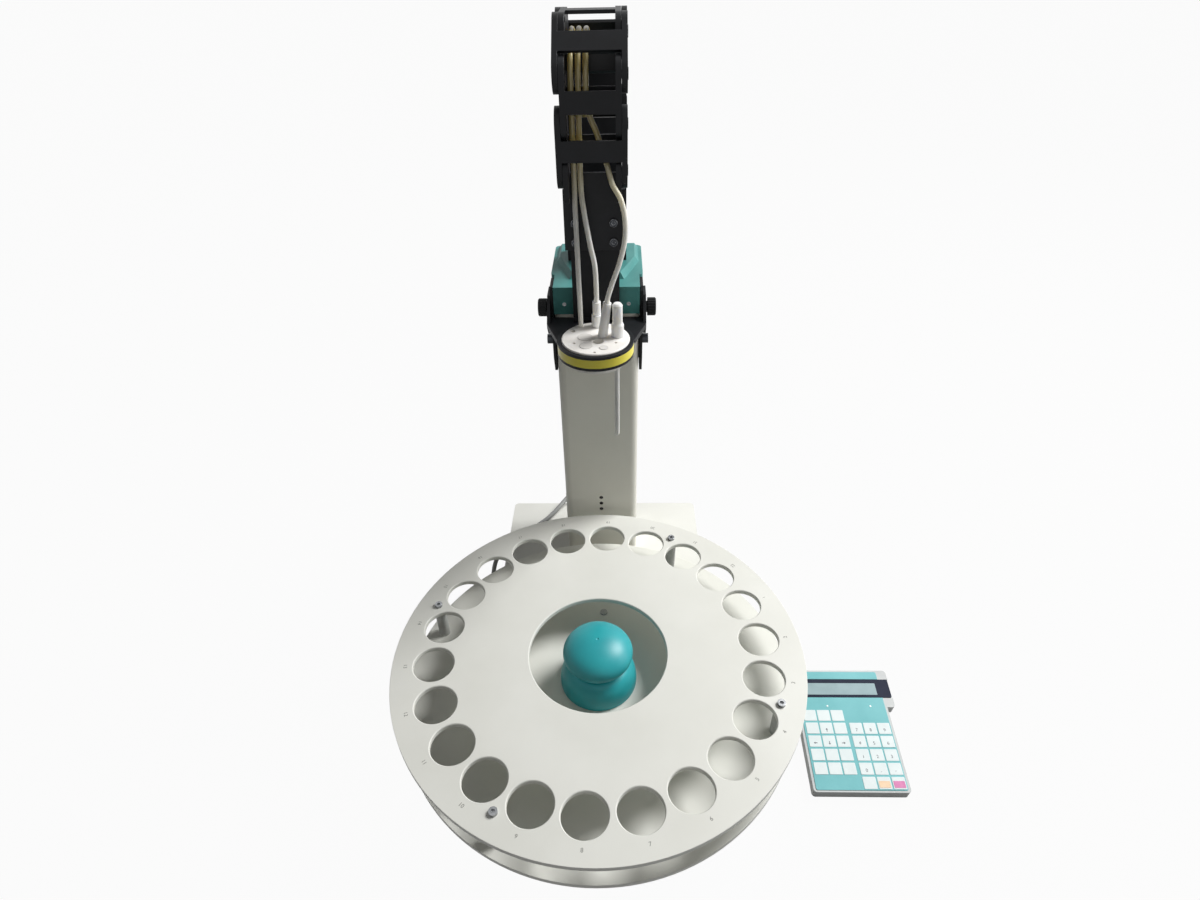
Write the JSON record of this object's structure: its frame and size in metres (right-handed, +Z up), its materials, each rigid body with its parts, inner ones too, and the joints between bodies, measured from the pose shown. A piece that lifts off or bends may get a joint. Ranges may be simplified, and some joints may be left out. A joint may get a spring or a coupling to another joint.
{
  "type": "titration sample changer",
  "caption": "Bench sample changer: round beaker rack with ball handle on a motor turntable, tower lift with titration head, drag chain for hoses, and a wired keypad.",
  "frame": {"origin": "on the turntable axis at bench level, on the underside of the middle foot", "axes": "+Z up along the turntable axis, +Y from the turntable to the tower, +X to the operator's right, where the keypad lies"},
  "size_m": [0.5624, 0.569, 0.7296],
  "materials": {
    "white_paint": "fine satin paint",
    "rack_plastic": "smooth matt",
    "turquoise_plastic": "smooth satin",
    "black_plastic": "fine matt",
    "black_metal": "matt black coating",
    "natural_plastic": "smooth matt",
    "steel": "ground",
    "aluminium": "turned",
    "bronze": "turned",
    "rubber": "matt",
    "yellow_label": "printed film",
    "hose": "translucent",
    "dark_window": "polished",
    "keypad_case": "fine texture",
    "cable_grey": "matt",
    "board": "lacquered",
    "winding": "lacquered tape"
  },
  "bodies": {
    "stand": {"base_housing": "white_paint", "base_plate": "steel", "base_feet": "rubber", "rear_panel": "steel", "mains_inlet": "black_plastic", "interface_sockets": "steel", "turntable_bearing": "steel", "turntable_motor": "black_metal", "drive_belt": "black_plastic", "circuit_board": "board", "transformer": "winding", "tower_column": "white_paint", "tower_back": "white_paint", "tower_cap": "turquoise_plastic", "guide_rods": "steel", "rod_plates": "steel", "spindle_bearings": "steel", "lift_motor": "black_metal", "sensor_windows": "dark_window", "chain_anchor": "black_plastic", "keypad_top": "keypad_case", "keypad_bottom": "keypad_case", "keypad_foil": "turquoise_plastic", "display_window": "dark_window", "keypad_cable": "cable_grey", "cable_boots": "black_plastic"},
    "turntable": {"turntable_disc": "aluminium", "turntable_shaft": "steel", "driven_pulley": "aluminium"},
    "rack": {"rack_upper_plate": "rack_plastic", "rack_lower_plate": "rack_plastic", "rack_posts": "rack_plastic", "rack_screws": "steel", "rack_handle": "turquoise_plastic"},
    "lift": {"lift_carriage": "black_plastic", "rod_bushes": "bronze", "spindle_nut": "bronze", "lift_arms": "black_metal", "bracket_screws": "black_metal", "head_bracket": "black_plastic", "label_band": "yellow_label", "titration_head": "natural_plastic", "head_stoppers": "natural_plastic", "hose_fittings": "natural_plastic", "dip_tube": "hose", "chain_plate": "black_metal", "chain_bracket": "black_plastic", "front_links": "black_plastic", "hoses": "hose"},
    "lift_spindle": {"lift_spindle": "steel"},
    "motor_pulley": {"motor_pulley": "steel"},
    "power_rocker": {"power_rocker": "black_plastic"},
    "clamp_knob_left": {"clamp_knob_left": "black_plastic"},
    "clamp_knob_right": {"clamp_knob_right": "black_plastic"},
    "chain_link_1": {"chain_link_1": "black_plastic"},
    "chain_link_2": {"chain_link_2": "black_plastic"},
    "chain_link_3": {"chain_link_3": "black_plastic"},
    "chain_link_4": {"chain_link_4": "black_plastic"},
    "chain_link_5": {"chain_link_5": "black_plastic"},
    "chain_link_6": {"chain_link_6": "black_plastic"}
  },
  "joints": [
    {"name": "turntable_spin", "type": "hinge", "parent": "stand", "child": "turntable", "pos_m": [0, 0, 0.118], "axis": [0, 0, 1], "continuous": true},
    {"name": "rack_lift", "type": "slide", "parent": "turntable", "child": "rack", "axis": [0, 0, 1], "range_m": [0, 0.045]},
    {"name": "lift_slide", "type": "slide", "parent": "stand", "child": "lift", "axis": [0, 0, 1], "range_m": [-0.195, 0], "deforming": ["hoses"]},
    {"name": "spindle_spin", "type": "hinge", "parent": "stand", "child": "lift_spindle", "pos_m": [0, 0.272, 0.26], "axis": [0, 0, 1], "range_deg": [-7030, 10]},
    {"name": "motor_pulley_spin", "type": "hinge", "parent": "stand", "child": "motor_pulley", "pos_m": [0, 0.092, 0.068], "axis": [0, 0, 1], "continuous": true},
    {"name": "knob_left_turn", "type": "hinge", "parent": "lift", "child": "clamp_knob_left", "pos_m": [-0.0576, 0.235, 0.459], "axis": [-1, 0, 0], "range_deg": [0, 360]},
    {"name": "knob_right_turn", "type": "hinge", "parent": "lift", "child": "clamp_knob_right", "pos_m": [0.0576, 0.235, 0.459], "axis": [1, 0, 0], "range_deg": [0, 360]},
    {"name": "rocker_tip", "type": "hinge", "parent": "stand", "child": "power_rocker", "pos_m": [0.086, 0.349, 0.0475], "axis": [1, 0, 0], "range_deg": [0, 16]},
    {"name": "chain_bend_1", "type": "hinge", "parent": "lift", "child": "chain_link_1", "pos_m": [0, 0.2, 0.687], "axis": [1, 0, 0], "range_deg": [0, 45.1]},
    {"name": "chain_bend_2", "type": "hinge", "parent": "chain_link_1", "child": "chain_link_2", "pos_m": [0, 0.22758, 0.71458], "axis": [1, 0, 0], "range_deg": [0, 45.1]},
    {"name": "chain_bend_3", "type": "hinge", "parent": "chain_link_2", "child": "chain_link_3", "pos_m": [0, 0.26658, 0.71458], "axis": [1, 0, 0], "range_deg": [0, 27.9]},
    {"name": "chain_bend_4", "type": "hinge", "parent": "chain_link_3", "child": "chain_link_4", "pos_m": [0, 0.29415, 0.687], "axis": [1, 0, 0], "range_deg": [-3.6, 0]},
    {"name": "chain_bend_5", "type": "hinge", "parent": "chain_link_4", "child": "chain_link_5", "pos_m": [0, 0.29415, 0.648], "axis": [1, 0, 0], "range_deg": [-48.6, 0]},
    {"name": "chain_bend_6", "type": "hinge", "parent": "chain_link_5", "child": "chain_link_6", "pos_m": [0, 0.29415, 0.609], "axis": [1, 0, 0], "range_deg": [-48.6, 0]}
  ],
  "couplings": [
    {"joint": "spindle_spin", "follows": "lift_slide", "rad_per_m": 628.32},
    {"joint": "motor_pulley_spin", "follows": "turntable_spin", "ratio": 3.75},
    {"joint": "chain_bend_1", "follows": "lift_slide", "rad_per_m": -4.0277},
    {"joint": "chain_bend_2", "follows": "lift_slide", "rad_per_m": -4.0277},
    {"joint": "chain_bend_3", "follows": "lift_slide", "rad_per_m": -2.4893},
    {"joint": "chain_bend_4", "follows": "lift_slide", "rad_per_m": 0.317},
    {"joint": "chain_bend_5", "follows": "lift_slide", "rad_per_m": 4.3447},
    {"joint": "chain_bend_6", "follows": "lift_slide", "rad_per_m": 4.3447}
  ]
}
